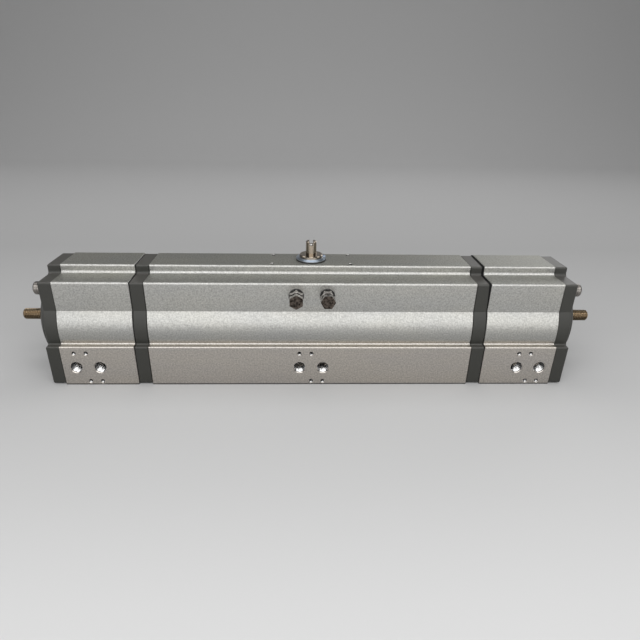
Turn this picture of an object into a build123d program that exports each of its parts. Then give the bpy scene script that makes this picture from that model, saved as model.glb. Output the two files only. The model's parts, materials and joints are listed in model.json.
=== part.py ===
from build123d import *
from math import acos, cos, pi, radians, sin, sqrt, tan
import os

# Rotary pneumatic actuator: double rack and pinion with three positions, 0, 90 and 180 degrees.
# Millimetres. X runs along the cylinders, +Z is up, the air connection faces look to -Y, and the
# origin is where the pinion's axis meets the mounting face. The model stands with the pinion turned
# by rest_turn from its closed stop, and every piston where that puts it.

# ---------------------------------------------------------------- driving dimensions
# tube section
bore_radius = 46.0
bottom_wall = 8.0
top_wall = 17.0
tube_wall = 7.0
flat_stand = 1.4            # the side flats, outside the bore radius
pad_stand = 12.5            # the air connection face, outside the bore radius
pad_land = 7.5              # the face, above its highest screw
shoulder_drop = 9.2
top_land = 5.5              # the top face, beyond its screw pattern
top_round = 1.75
shoulder_round = 2.0
shoulder_fillet = 3.0
pad_round = 1.3
pad_fillet = 1.6
end_chamfer = 0.4

# gearing and travel
tooth_module = 2.0
tooth_count = 20
pressure_angle = 20.0
tooth_thinning = 0.15       # taken off the width of every tooth, for backlash
dedendum = 1.25             # depth of a tooth below the pitch line, in modules
travel = 180.0
rest_turn = 0.0             # the pinion, from its closed stop
rack_height = 26.0
gear_overhang = 3.0         # the gear, above and below the racks
rack_overrun = 8.0          # rack past the pinion's axis, fully open
rack_tip_gap = 7.8          # rack tip to the other piston, fully closed
rack_back_gap = 1.5         # rack to bore
rack_round = 3.0

# pistons
piston_gap = 0.6            # piston head to bore, radial
piston_chamfer = 0.8
piston_end_gap = 2.0        # main piston to the end of its tube, fully open
guide_start = 1.5
guide_width = 7.0
guide_depth = 2.0
guide_split = 1.6
groove_land = 2.0           # between the guide's groove and the seal's
seal_width = 5.3
seal_depth = 4.2
piston_land = 4.2           # beyond the seal's groove
face_dish_radius = 26.0
face_dish_depth = 3.0
face_boss = 2.0             # the dish's middle boss, beyond the stop rod
pad_length = 40.0
pad_width = 14.0
pad_seat = 5.5              # depth of a rack pad's seat, in from the bore
pad_inset = 12.0            # in from the rack's tip

# stop pistons, which set the middle position
stop_piston_land = 1.2      # beyond the seal's groove
stop_piston_gap = 1.5       # stop piston to the plate's spigot, fully out
rod_radius = 12.5
rod_stub_radius = 7.0
rod_chamfer = 1.0
rod_bush_length = 7.5
rod_seal_width = 3.0
rod_seal_depth = 2.6
rod_seal_inset = 2.0        # in from the plate's inner face
rod_contact_gap = 0.3
rod_nut_flats = 22.0
rod_nut_height = 6.5
rod_nut_room = 1.2
rod_nut_pocket = 1.0        # the pocket, beyond the nut's corners
rear_space = 21.2           # stop piston to the cap's joint face, fully back

# end plates, caps and their fasteners
gasket = 0.5
plate_thickness = 13.1
plate_inset = 0.75
plate_round = 2.0
plate_spigot = 3.0
gasket_inset = 1.3
cap_flange = 12.9
cap_spigot = 4.0
cap_edge_round = 1.0
dome_inset = 1.0            # rim, inside the bore radius
dome_rim = 4.5
dome_drop = 11.5
dome_wall = 9.0
cap_wall = 12.0             # round the cap's hollow, inside the bore radius
stud_boss_radius = 13.0
tie_inset_y = 7.5           # screw axes, inside the bore radius
tie_inset_z = 1.5
tie_radius = 4.0
tie_grip = 16.4             # thread in the centre tube
tie_spare = 7.6             # hole past the screw's end
tie_head_radius = 6.5
tie_head_height = 4.2
tie_key = 5.0
tie_key_depth = 2.5
tie_head_round = 1.5
tie_washer = 2.0
tie_washer_step = 0.2       # washer, inside the head's edge
stud_radius = 6.0
stud_stand = 28.0
stud_gap = 0.2
stud_chamfer = 1.0
stud_key = 6.0
stud_key_depth = 7.0
stud_nut_flats = 18.0
stud_nut_height = 6.0
stud_seal = 1.5
stud_seal_radius = 10.5

# pinion, from the foot up
pinion_foot = 0.8
square_drive = 17.0
square_top = 22.0
foot_radius = 16.0
foot_flange_step = 4.5
foot_flange_height = 4.4
foot_flange_room = 1.0
hub_step = 1.5              # hub, inside the tooth roots
foot_seal_bottom = 1.7
foot_seal_width = 2.0
foot_seal_depth = 1.7
foot_bush_land = 0.5        # between the foot's seal and its bush
bush_wall = 1.95
bush_flange = 1.5
neck_radius = 12.2
neck_bush_length = 8.0
neck_seal_land = 2.5        # between the neck's bush and its seal
neck_seal_width = 2.6
neck_seal_depth = 1.8
collar_stand = 6.0          # above the top face
collar_chamfer = 0.7
shaft_radius = 5.5
shaft_stand = 20.0
shaft_chamfer = 0.8
slot_width = 4.0
slot_depth = 4.0
shaft_tap_radius = 2.5
shaft_tap_depth = 11.0
thrust_washer = 1.5
steel_washer = 1.0
washer_width = 3.3
clip_thickness = 1.2
clip_groove_depth = 1.0
clip_stand = 2.1
clip_lug_radius = 2.6
clip_lug_turn = 16.0
clip_eye_radius = 1.0

# stop cam and travel stop screws
cam_top_drop = 6.2          # lobe top below the bore's top
cam_height = 9.8
cam_tip_gap = 1.0           # lobe to bore
cam_half_width = 11.0
cam_hub_wall = 3.1
cam_hub_room = 1.5
cam_seat_step = 0.2         # the octagon's flats, outside the neck
stop_hub_gap = 0.58         # screw tip to the cam's hub
stop_drop = 5.5             # screw axis below the bore's top
stop_gap = 0.05
stop_radius = 4.0
stop_chamfer = 0.8
stop_stand = 17.5           # head face, out from the side flat
stop_flats = 13.0
stop_head_height = 5.3
stop_nut_height = 6.8
stop_seal = 1.2
stop_seal_radius = 7.6

# air connections, one face on each tube
port_z = 20.0
port_pitch = 24.0
port_radius = 5.9
port_rim = 0.7              # width of the port's countersink
port_depth = 14.0
port_screw_pitch = 32.0
port_screw_depth = 8.0
side_port_inset = 25.5      # side face pattern, in from the cap's joint
passage_radius = 3.0
passage_inset = 12.0
passage_rise = 11.0
passage_slot_depth = 4.0
passage_slot_reach = 1.0    # past the bore's edge
plug_recess = 0.3
plug_length = 5.7

# mounting patterns
thread_mouth = 0.4          # width of every screw hole's countersink
small_thread_radius = 2.1   # M5
top_pattern_x = 80.0
top_pattern_y = 30.0
top_screw_depth = 9.0
inner_circle = 50.0
inner_thread_radius = 2.5   # M6
inner_depth = 9.0
outer_circle = 70.0
outer_thread_radius = 3.4   # M8
outer_depth = 12.0

hex_face_step = 0.3         # turned face of a nut or head, inside its flats

# clearances
running_gap = 0.05
seat_gap = 0.05
hole_gap = 0.3
seal_gap = 0.02

# modelling
overlap = 1.0               # how far a cut or a join runs past a face

# ---------------------------------------------------------------- worked-out sizes
axis_z = bottom_wall + bore_radius
bore_top = axis_z + bore_radius
body_height = bore_top + top_wall
tube_radius = bore_radius + tube_wall
spigot_radius = bore_radius - 2 * running_gap
flat_y = bore_radius + flat_stand
pad_y = bore_radius + pad_stand
shoulder_z = body_height - shoulder_drop
pad_height = port_z + port_screw_pitch / 2 + pad_land
top_half_width = top_pattern_y / 2 + top_land

pitch_radius = tooth_module * tooth_count / 2
tooth_pitch = pi * tooth_module
tip_radius = pitch_radius + tooth_module
root_radius = pitch_radius - dedendum * tooth_module
rack_root = pitch_radius + dedendum * tooth_module
rack_tip = pitch_radius - tooth_module
stroke = pitch_radius * radians(travel)
rest_shift = pitch_radius * radians(rest_turn)

seal_start = guide_start + guide_width + groove_land
piston_thickness = seal_start + seal_width + piston_land
stop_piston_thickness = seal_start + seal_width + stop_piston_land
rack_back_radius = bore_radius - rack_back_gap
piston_radius = bore_radius - piston_gap
piston_closed = stroke + rack_overrun + rack_tip_gap
piston_open = piston_closed + piston_thickness + stroke
piston_inner = piston_closed + rest_shift
piston_outer = piston_inner + piston_thickness

body_end = piston_open + piston_end_gap
plate_in = body_end + gasket
plate_out = plate_in + plate_thickness
side_in = plate_out + gasket
stop_closed = side_in + plate_spigot + stop_piston_gap
stop_inner = stop_closed + rest_shift / 2
stop_outer = stop_inner + stop_piston_thickness
stop_back = stop_closed + stroke / 2 + stop_piston_thickness
rod_tip = piston_open - stroke / 2 + rod_contact_gap + rest_shift / 2
side_out = stop_back + rear_space
cap_in = side_out + gasket
flange_out = cap_in + cap_flange
dome_out = flange_out + dome_rim + dome_drop
dome_radius = bore_radius - dome_inset
cap_hollow_radius = bore_radius - cap_wall
stud_tip = dome_out + stud_stand
stud_inner = stop_back + stud_gap
rod_bush_radius = rod_radius + running_gap + bush_wall
rod_bush_start = side_in + plate_spigot - rod_bush_length
rod_seal_radius = rod_radius + rod_seal_depth
rod_seal_start = plate_in + rod_seal_inset

foot_shoulder = bottom_wall + bush_flange + running_gap
foot_flange_radius = foot_radius + foot_flange_step
foot_land = foot_radius + 2 * running_gap
foot_bush_bottom = foot_seal_bottom + foot_seal_width + foot_bush_land
hub_radius = root_radius - hub_step
neck_land = neck_radius + 2 * running_gap
neck_bush_top = bore_top + neck_bush_length
neck_seal_bottom = neck_bush_top + neck_seal_land
gear_bottom = axis_z - rack_height / 2 - gear_overhang
gear_top = axis_z + rack_height / 2 + gear_overhang
cam_top = bore_top - cam_top_drop
cam_bottom = cam_top - cam_height
cam_hub_top = bore_top - bush_flange - running_gap
cam_hub_radius = neck_radius + cam_hub_wall
cam_seat_radius = neck_radius + cam_seat_step
cam_lobe_radius = sqrt(bore_radius**2 - (cam_top - axis_z) ** 2) - cam_tip_gap
collar_top = body_height + collar_stand
shaft_top = body_height + shaft_stand
washer_bottom = body_height + thrust_washer
clip_bottom = washer_bottom + steel_washer + running_gap
clip_groove = neck_radius - clip_groove_depth
clip_radius = neck_radius + clip_stand
washer_radius = neck_land + washer_width

stop_z = bore_top - stop_drop
stop_tip_y = -(cam_half_width + stop_gap)
stop_x = sqrt((cam_hub_radius + stop_hub_gap) ** 2 - stop_tip_y**2) + stop_radius
side_port_x = side_out - side_port_inset
passage_y = -(pad_y - passage_inset)
passage_z = port_z + passage_rise
tie_y = bore_radius - tie_inset_y
tie_z = bore_radius - tie_inset_z
tie_points = [(y, axis_z + z) for y in (-tie_y, tie_y) for z in (-tie_z, tie_z)]

low = (Align.CENTER, Align.CENTER, Align.MIN)
bore_axis = Axis((0, 0, axis_z), (1, 0, 0))

os.makedirs("parts", exist_ok=True)


# ---------------------------------------------------------------- shared shapes
def save(piece, label):
    """Name a finished piece and write its file."""
    piece.label = label
    export_step(piece, f"parts/{label}.step")


def round_x(radius, start, stop, y=0, z=axis_z, mode=Mode.SUBTRACT):
    """A cylinder along X, between two stations."""
    with Locations(((start + stop) / 2, y, z)):
        Cylinder(radius, abs(stop - start), rotation=(0, 90, 0), mode=mode)


def round_y(radius, start, stop, x, z, mode=Mode.SUBTRACT):
    """A cylinder along Y, between two stations."""
    with Locations((x, (start + stop) / 2, z)):
        Cylinder(radius, abs(stop - start), rotation=(90, 0, 0), mode=mode)


def round_z(radius, bottom, top, x=0, y=0, mode=Mode.SUBTRACT):
    """A cylinder along Z, between two heights."""
    with Locations((x, y, bottom)):
        Cylinder(radius, top - bottom, align=low, mode=mode)


def corners(sketch, *places):
    """The sketch's corners that lie at the given places."""
    return [v for v in sketch.vertices() if any(abs(v.X - x) + abs(v.Y - y) < 0.01 for x, y in places)]


def tube_outline(station, inset=0.0, foot_round=0.0):
    """The tubes' outer outline across X, drawn in by inset, with its lower corners rounded."""
    top = body_height - inset
    shoulder = shoulder_z - inset
    top_x = top_half_width - inset
    side_x = flat_y - inset
    pad_x = inset - pad_y
    pad_top = pad_height - inset
    radius = tube_radius - inset
    pad_root = -sqrt(radius**2 - (axis_z - pad_top) ** 2)
    with BuildSketch(Plane.YZ.offset(station)) as outline:
        with Locations((0, axis_z)):
            Circle(radius)
        with Locations((0, inset)):
            Rectangle(4 * radius, 4 * radius, align=(Align.CENTER, Align.MIN), mode=Mode.INTERSECT)
            Rectangle(2 * top_x, top - inset, align=(Align.CENTER, Align.MIN))
            Rectangle(2 * side_x, shoulder - inset, align=(Align.CENTER, Align.MIN))
            Rectangle(-pad_x, pad_top - inset, align=(Align.MAX, Align.MIN))
        fillet(corners(outline, (-top_x, top), (top_x, top)), top_round)
        fillet(corners(outline, (-top_x, shoulder), (top_x, shoulder)), shoulder_fillet)
        fillet(corners(outline, (-side_x, shoulder), (side_x, shoulder)), shoulder_round)
        fillet(corners(outline, (pad_x, pad_top)), pad_round)
        fillet(corners(outline, (pad_root, pad_top)), pad_fillet)
        if foot_round:
            fillet(corners(outline, (pad_x, inset), (side_x, inset)), foot_round)
    return outline.sketch


def port_face(x):
    """Two ports and four screw holes of the air connection face centred at x."""
    face = Plane(origin=(x, -pad_y, port_z), x_dir=(1, 0, 0), z_dir=(0, -1, 0))
    half = port_pitch / 2
    rise = port_screw_pitch / 2
    with Locations(face):
        with Locations((-half, 0), (half, 0)):
            CounterSinkHole(port_radius, port_radius + port_rim, port_depth)
        with Locations((-half, rise), (0, rise), (0, -rise), (half, -rise)):
            CounterSinkHole(small_thread_radius, small_thread_radius + thread_mouth, port_screw_depth)


def direct_passage(x):
    """Air from a port straight into the bore."""
    reach = sqrt(bore_radius**2 - (axis_z - port_z) ** 2)
    round_y(passage_radius, port_depth - pad_y - overlap, -reach + passage_radius, x, port_z)


def turned_passage(port_x, *ends):
    """Air from a port up a drilled riser, and along the wall to the ends of its tube."""
    round_z(passage_radius, 0, passage_z, port_x, passage_y)
    for end in ends:
        round_x(passage_radius, port_x, end, passage_y, passage_z)


def passage_slot(station, depth):
    """The way from the wall passage into the bore, cut in from an end face."""
    bore_edge = sqrt(bore_radius**2 - (axis_z - passage_z + passage_radius) ** 2)
    width = passage_radius - passage_y - bore_edge + passage_slot_reach
    with BuildSketch(Plane.YZ.offset(station)) as slot:
        with Locations((passage_y - passage_radius, passage_z)):
            Rectangle(width, 2 * passage_radius, align=(Align.MIN, Align.CENTER))
    return extrude(slot.sketch, amount=depth, mode=Mode.PRIVATE)


def ring_x(outer, inner, start, stop):
    """A plain ring round the bore's axis."""
    with BuildPart() as ring:
        round_x(outer, start, stop, mode=Mode.ADD)
        round_x(inner, start, stop)
    return ring.part


def ring_z(outer, inner, bottom, top):
    """A plain ring round the pinion's axis."""
    with BuildPart() as ring:
        round_z(outer, bottom, top, mode=Mode.ADD)
        round_z(inner, bottom, top)
    return ring.part


def seal_x(outer, inner, station):
    """An O-ring round the bore's axis, between two radii."""
    with BuildPart() as seal:
        with Locations(Plane(origin=(station, 0, axis_z), z_dir=(1, 0, 0))):
            Torus((outer + inner) / 2, (outer - inner) / 2 - seal_gap)
    return seal.part


def seal_z(outer, inner, height):
    """An O-ring round the pinion's axis, between two radii."""
    with BuildPart() as seal:
        with Locations((0, 0, height)):
            Torus((outer + inner) / 2, (outer - inner) / 2 - seal_gap)
    return seal.part


def hexagon(plane, flats, turn=0.0):
    """A hexagon of a given size across flats; unturned, two corners lie along the plane's x."""
    with BuildSketch(plane) as six:
        RegularPolygon(flats / 2, 6, major_radius=False, rotation=turn)
    return six.sketch


def hex_block(plane, flats, height, turn=0.0):
    """A hexagonal nut or head that stands on a plane, with the corners of its outer face turned down."""
    face = flats / 2 - hex_face_step
    rim = flats / 2 / cos(pi / 6) + overlap
    with BuildPart() as block:
        extrude(hexagon(Plane.XY, flats, turn), amount=height)
        with BuildSketch(Plane.XZ):
            Polygon(
                (0, 0), (rim, 0), (rim, height - (rim - face) * tan(pi / 6)), (face, height), (0, height),
                align=None,
            )
        revolve(axis=Axis.Z, mode=Mode.INTERSECT)
    return plane.location * block.part


# ---------------------------------------------------------------- tubes
with BuildPart() as centre_body:
    extrude(tube_outline(-body_end), amount=2 * body_end)
    chamfer(faces().filter_by(Axis.X).edges(), end_chamfer)
    round_x(bore_radius, -body_end, body_end)
    # foot bearing: seal land, bush seat and thrust face
    round_z(foot_land, 0, bottom_wall)
    round_z(foot_radius + running_gap + bush_wall + seat_gap, foot_bush_bottom, bottom_wall)
    round_z(foot_flange_radius + foot_flange_room, bottom_wall, axis_z)
    # neck bearing: thrust face, bush seat and seal land
    round_z(cam_hub_radius + cam_hub_room, axis_z, bore_top)
    round_z(neck_radius + running_gap + bush_wall + seat_gap, bore_top, neck_bush_top)
    round_z(neck_land, bore_top, body_height)
    for x in (-stop_x, stop_x):
        round_y(stop_radius + seat_gap, -pad_y, -cam_half_width, x, stop_z)
    port_face(0)
    direct_passage(-port_pitch / 2)
    turned_passage(port_pitch / 2, -body_end, body_end)
    for y, z in tie_points:
        for end in (-body_end, body_end):
            round_x(tie_radius + seat_gap, end, end * (1 - (tie_grip + tie_spare) / body_end), y, z)
    with Locations(Plane.XY.offset(body_height)):
        with GridLocations(top_pattern_x, top_pattern_y, 2, 2):
            CounterSinkHole(small_thread_radius, small_thread_radius + thread_mouth, top_screw_depth)
    with Locations(Plane.XY.rotated((180, 0, 0))):
        with PolarLocations(inner_circle / 2, 4, start_angle=45):
            CounterSinkHole(inner_thread_radius, inner_thread_radius + thread_mouth, inner_depth)
        with PolarLocations(outer_circle / 2, 4, start_angle=45):
            CounterSinkHole(outer_thread_radius, outer_thread_radius + thread_mouth, outer_depth)
save(centre_body.part, "centre_body")


def side_body(side):
    """One of the two outer tubes, in which a stop piston runs."""
    inner_port = side * (side_port_x - port_pitch / 2)
    outer_port = side * (side_port_x + port_pitch / 2)
    with BuildPart() as body:
        extrude(tube_outline(side * side_in), amount=side * (side_out - side_in))
        chamfer(faces().filter_by(Axis.X).edges(), end_chamfer)
        round_x(bore_radius, side * side_in, side * side_out)
        port_face(side * side_port_x)
        direct_passage(outer_port)
        turned_passage(inner_port, side * side_in)
        for y, z in tie_points:
            round_x(tie_radius + hole_gap, side * side_in, side * side_out, y, z)
    return body.part


save(side_body(-1), "side_body_left")
save(side_body(1), "side_body_right")


# ---------------------------------------------------------------- plates, gaskets and caps
def plate(side):
    """The plate between the centre tube and a side tube, with the rod's bush and seal seats."""
    inner_slot = passage_slot(side * plate_in, side * passage_slot_depth)
    outer_slot = passage_slot(side * plate_out, -side * passage_slot_depth)
    with BuildPart() as body:
        extrude(tube_outline(side * plate_in, plate_inset, plate_round), amount=side * plate_thickness)
        chamfer(faces().filter_by(Axis.X).edges(), end_chamfer)
        round_x(spigot_radius, side * plate_out, side * (side_in + plate_spigot), mode=Mode.ADD)
        add(inner_slot, mode=Mode.SUBTRACT)
        add(outer_slot, mode=Mode.SUBTRACT)
        round_x(rod_radius + 2 * running_gap, side * plate_in, side * (side_in + plate_spigot))
        round_x(rod_bush_radius + seat_gap, side * rod_bush_start, side * (side_in + plate_spigot))
        round_x(rod_seal_radius, side * rod_seal_start, side * (rod_seal_start + rod_seal_width))
        for y, z in tie_points:
            round_x(tie_radius + hole_gap, side * plate_in, side * plate_out, y, z)
    return body.part


def gaskets(side):
    """The three flat gaskets of one side: centre tube to plate, plate to side tube, side tube to cap."""
    with BuildPart() as sheets:
        for station in (body_end, plate_out, side_out):
            extrude(tube_outline(side * station, gasket_inset, plate_round), amount=side * gasket)
        round_x(bore_radius + hole_gap, side * body_end, side * cap_in)
        for y, z in tie_points:
            round_x(tie_radius + hole_gap, side * body_end, side * cap_in, y, z)
        for station in (body_end, plate_out):
            add(passage_slot(side * station, side * gasket), mode=Mode.SUBTRACT)
    return sheets.part


def dome_profile(outer_x, radius, drop):
    """Points of a dome's edge from its crown to its rim, in X and Z: the drop grows with the cube."""
    steps = [0, 0.35, 0.6, 0.8, 1]
    return [(outer_x - drop * s**3, axis_z + radius * s) for s in steps]


def cap(side):
    """An end cap: flange, spigot, domed crown and the boss that holds the stop stud."""
    hollow_out = dome_out - dome_wall
    dome_base = side * (flange_out - overlap)
    crown = dome_profile(side * dome_out, dome_radius, side * dome_drop)
    with BuildPart() as body:
        extrude(tube_outline(side * cap_in, plate_inset, plate_round), amount=side * cap_flange)
        chamfer(faces().filter_by(Axis.X).sort_by(Axis.X)[-1 if side > 0 else 0].edges(), cap_edge_round)
        with BuildSketch(Plane.XZ):
            with BuildLine():
                Spline(*crown, tangents=((0, 1), (-side * 3 * dome_drop, dome_radius)))
                Polyline(crown[-1], (dome_base, crown[-1][1]), (dome_base, axis_z), crown[0])
            make_face()
        revolve(axis=bore_axis)
        round_x(spigot_radius, side * (side_out - cap_spigot), side * cap_in, mode=Mode.ADD)
        round_x(cap_hollow_radius, side * (side_out - cap_spigot), side * hollow_out)
        round_x(stud_boss_radius, side * cap_in, side * hollow_out, mode=Mode.ADD)
        round_x(stud_radius + seat_gap, side * cap_in, side * dome_out)
        for y, z in tie_points:
            round_x(tie_radius + hole_gap, side * cap_in, side * flange_out, y, z)
    return body.part


# ---------------------------------------------------------------- fasteners
def tie_screws(side):
    """Four long screws that clamp cap, side tube and plate to the centre tube."""
    seat = flange_out + tie_washer
    with BuildPart() as screws:
        for y, z in tie_points:
            round_x(tie_radius, side * (body_end - tie_grip), side * seat, y, z, mode=Mode.ADD)
            round_x(tie_head_radius, side * seat, side * (seat + tie_head_height), y, z, mode=Mode.ADD)
        tops = faces().filter_by(Axis.X).group_by(Axis.X)[-1 if side > 0 else 0]
        fillet(tops.edges(), tie_head_round)
        for y, z in tie_points:
            face = Plane(origin=(side * (seat + tie_head_height), y, z), z_dir=(side, 0, 0))
            extrude(hexagon(face, tie_key), amount=-tie_key_depth, mode=Mode.SUBTRACT)
    return screws.part


def tie_washers(side):
    """Spring washers under the tie screws' heads."""
    ends = (side * flange_out, side * (flange_out + tie_washer))
    with BuildPart() as washers:
        for y, z in tie_points:
            round_x(tie_head_radius - tie_washer_step, *ends, y, z, mode=Mode.ADD)
            round_x(tie_radius + seat_gap, *ends, y, z)
    return washers.part


def end_stud(side):
    """The threaded stud whose inner end stops the stop piston."""
    with BuildPart() as stud:
        round_x(stud_radius, side * stud_inner, side * stud_tip, mode=Mode.ADD)
        chamfer(edges().filter_by(GeomType.CIRCLE), stud_chamfer)
        face = Plane(origin=(side * stud_tip, 0, axis_z), z_dir=(side, 0, 0))
        extrude(hexagon(face, stud_key), amount=-stud_key_depth, mode=Mode.SUBTRACT)
    return stud.part


def end_nut(side):
    """The thin nut that locks the stud and presses its seal."""
    seat = dome_out + stud_seal
    face = Plane(origin=(side * seat, 0, axis_z), z_dir=(side, 0, 0))
    with BuildPart() as nut:
        add(hex_block(face, stud_nut_flats, stud_nut_height))
        round_x(stud_radius + seat_gap, side * seat, side * (seat + stud_nut_height))
    return nut.part


for side, name in ((-1, "left"), (1, "right")):
    rod_seal_middle = side * (rod_seal_start + rod_seal_width / 2)
    bush_ends = (side * rod_bush_start, side * (side_in + plate_spigot))
    seal_ends = (side * dome_out, side * (dome_out + stud_seal))
    save(plate(side), f"plate_{name}")
    save(gaskets(side), f"gaskets_{name}")
    save(cap(side), f"cap_{name}")
    save(tie_screws(side), f"tie_screws_{name}")
    save(tie_washers(side), f"tie_washers_{name}")
    save(end_stud(side), f"end_stud_{name}")
    save(end_nut(side), f"end_nut_{name}")
    save(ring_x(stud_seal_radius, stud_radius + seat_gap, *seal_ends), f"end_seal_{name}")
    save(ring_x(rod_bush_radius, rod_radius + running_gap, *bush_ends), f"rod_bush_{name}")
    save(seal_x(rod_seal_radius, rod_radius, rod_seal_middle), f"rod_seal_{name}")


# ---------------------------------------------------------------- pinion and its bearings
def involute(radius):
    """Involute function of a point at this radius, for the gear's base circle."""
    angle = acos(min(1, base_radius / radius))
    return tan(angle) - angle


def flank(radius, hand):
    """A point of a gear tooth's flank; the tooth points along +X."""
    half = (pi * tooth_module / 2 - tooth_thinning) / (2 * pitch_radius)
    angle = hand * (half + involute(pitch_radius) - involute(max(radius, base_radius)))
    return (radius * cos(angle), radius * sin(angle))


base_radius = pitch_radius * cos(radians(pressure_angle))
flank_radii = [base_radius + (tip_radius - base_radius) * s for s in (0, 0.25, 0.5, 0.75, 1)]
tooth_foot = root_radius - overlap / 2

with BuildSketch(Plane.XY.offset(gear_bottom)) as gear_tooth:
    with BuildLine():
        upper = Spline(*[flank(radius, 1) for radius in flank_radii])
        lower = Spline(*[flank(radius, -1) for radius in flank_radii])
        ThreePointArc(upper @ 1, (tip_radius, 0), lower @ 1)
        Polyline(upper @ 0, flank(tooth_foot, 1), flank(tooth_foot, -1), lower @ 0)
    make_face()

with BuildPart() as gear_wheel:
    extrude(gear_tooth.sketch, amount=gear_top - gear_bottom)

with BuildPart() as pinion:
    round_z(foot_radius, pinion_foot, foot_shoulder, mode=Mode.ADD)
    round_z(foot_flange_radius, foot_shoulder, foot_shoulder + foot_flange_height, mode=Mode.ADD)
    round_z(hub_radius, foot_shoulder, cam_bottom, mode=Mode.ADD)
    round_z(root_radius, gear_bottom, gear_top, mode=Mode.ADD)
    with PolarLocations(0, tooth_count, start_angle=rest_turn):
        add(gear_wheel.part)
    with BuildSketch(Plane.XY.offset(cam_bottom)):
        RegularPolygon(cam_seat_radius, 8, major_radius=False, rotation=rest_turn)
    extrude(amount=cam_hub_top - cam_bottom)
    round_z(neck_radius, cam_bottom, collar_top, mode=Mode.ADD)
    chamfer(edges().filter_by(GeomType.CIRCLE).sort_by(Axis.Z)[-1], collar_chamfer)
    round_z(shaft_radius, collar_top, shaft_top, mode=Mode.ADD)
    chamfer(edges().filter_by(GeomType.CIRCLE).sort_by(Axis.Z)[-1], shaft_chamfer)
    # seal and clip grooves
    add(
        ring_z(foot_radius + overlap, foot_radius - foot_seal_depth,
               foot_seal_bottom, foot_seal_bottom + foot_seal_width),
        mode=Mode.SUBTRACT,
    )
    add(
        ring_z(neck_radius + overlap, neck_radius - neck_seal_depth,
               neck_seal_bottom, neck_seal_bottom + neck_seal_width),
        mode=Mode.SUBTRACT,
    )
    add(
        ring_z(neck_radius + overlap, clip_groove,
               clip_bottom - running_gap, clip_bottom + clip_thickness + running_gap),
        mode=Mode.SUBTRACT,
    )
    # square drive in the foot, slot and tapped hole in the shaft's top
    with BuildSketch(Plane.XY.offset(pinion_foot)):
        Rectangle(square_drive, square_drive, rotation=rest_turn)
    extrude(amount=square_top - pinion_foot, mode=Mode.SUBTRACT)
    with BuildSketch(Plane.XY.offset(shaft_top)):
        Rectangle(slot_width, 3 * shaft_radius, rotation=rest_turn)
    extrude(amount=-slot_depth, mode=Mode.SUBTRACT)
    round_z(shaft_tap_radius, shaft_top - shaft_tap_depth, shaft_top)
save(pinion.part, "pinion")


def flanged_bush(inner, flange_outer, seat_bottom, seat_top, flange_bottom):
    """A plastic bush with a thrust flange, round the pinion's axis."""
    with BuildPart() as bush:
        round_z(inner + bush_wall, seat_bottom, seat_top, mode=Mode.ADD)
        round_z(flange_outer, flange_bottom, flange_bottom + bush_flange, mode=Mode.ADD)
        round_z(inner, min(seat_bottom, flange_bottom), max(seat_top, flange_bottom + bush_flange))
    return bush.part


save(
    flanged_bush(foot_radius + running_gap, foot_flange_radius, foot_bush_bottom, bottom_wall, bottom_wall),
    "pinion_bush_bottom",
)
save(
    flanged_bush(neck_radius + running_gap, cam_hub_radius, bore_top, neck_bush_top, bore_top - bush_flange),
    "pinion_bush_top",
)
save(
    seal_z(foot_land, foot_radius - foot_seal_depth, foot_seal_bottom + foot_seal_width / 2),
    "pinion_seal_bottom",
)
save(
    seal_z(neck_land, neck_radius - neck_seal_depth, neck_seal_bottom + neck_seal_width / 2),
    "pinion_seal_top",
)
save(ring_z(washer_radius, neck_land, body_height, washer_bottom), "thrust_washer")
save(ring_z(washer_radius, neck_land, washer_bottom, washer_bottom + steel_washer), "steel_washer")

with BuildPart() as snap_ring:
    lug_place = clip_radius - clip_lug_radius / 2
    lug_turn = radians(clip_lug_turn)
    lugs = [(lug_place * cos(lug_turn), y * lug_place * sin(lug_turn)) for y in (-1, 1)]
    with BuildSketch(Plane.XY.offset(clip_bottom)):
        Circle(clip_radius)
        with Locations(*lugs):
            Circle(clip_lug_radius)
        Circle(clip_groove + running_gap, mode=Mode.SUBTRACT)
        with Locations(*lugs):
            Circle(clip_eye_radius, mode=Mode.SUBTRACT)
        with Locations((clip_radius, 0)):
            Rectangle(clip_radius, 2 * clip_lug_radius, mode=Mode.SUBTRACT)
    extrude(amount=clip_thickness)
save(snap_ring.part, "snap_ring")

with BuildPart() as stop_cam:
    with BuildSketch(Plane.XY.offset(cam_bottom)):
        Circle(cam_lobe_radius)
        Rectangle(2 * cam_lobe_radius, 2 * cam_half_width, rotation=rest_turn, mode=Mode.INTERSECT)
        with Locations(Location((0, 0, 0), (0, 0, rest_turn))):
            Rectangle(
                2 * cam_lobe_radius, 4 * cam_lobe_radius, align=(Align.MAX, Align.CENTER), mode=Mode.SUBTRACT,
            )
    extrude(amount=cam_height)
    round_z(cam_hub_radius, cam_bottom, cam_hub_top, mode=Mode.ADD)
    with BuildSketch(Plane.XY.offset(cam_bottom)):
        RegularPolygon(cam_seat_radius + running_gap, 8, major_radius=False, rotation=rest_turn)
    extrude(amount=cam_hub_top - cam_bottom, mode=Mode.SUBTRACT)
save(stop_cam.part, "stop_cam")

# ---------------------------------------------------------------- travel stop screws
head_y = -(flat_y + stop_stand - stop_head_height)
nut_y = -(flat_y + stop_seal)
stop_hexes = ((-stop_x, 30), (stop_x, 0))

with BuildPart() as stop_screws:
    for x, turn in stop_hexes:
        round_y(stop_radius, head_y, stop_tip_y, x, stop_z, mode=Mode.ADD)
    chamfer(edges().filter_by(GeomType.CIRCLE).group_by(Axis.Y)[-1], stop_chamfer)
    for x, turn in stop_hexes:
        face = Plane(origin=(x, head_y, stop_z), x_dir=(1, 0, 0), z_dir=(0, -1, 0))
        add(hex_block(face, stop_flats, stop_head_height, turn))
save(stop_screws.part, "stop_screws")

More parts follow.
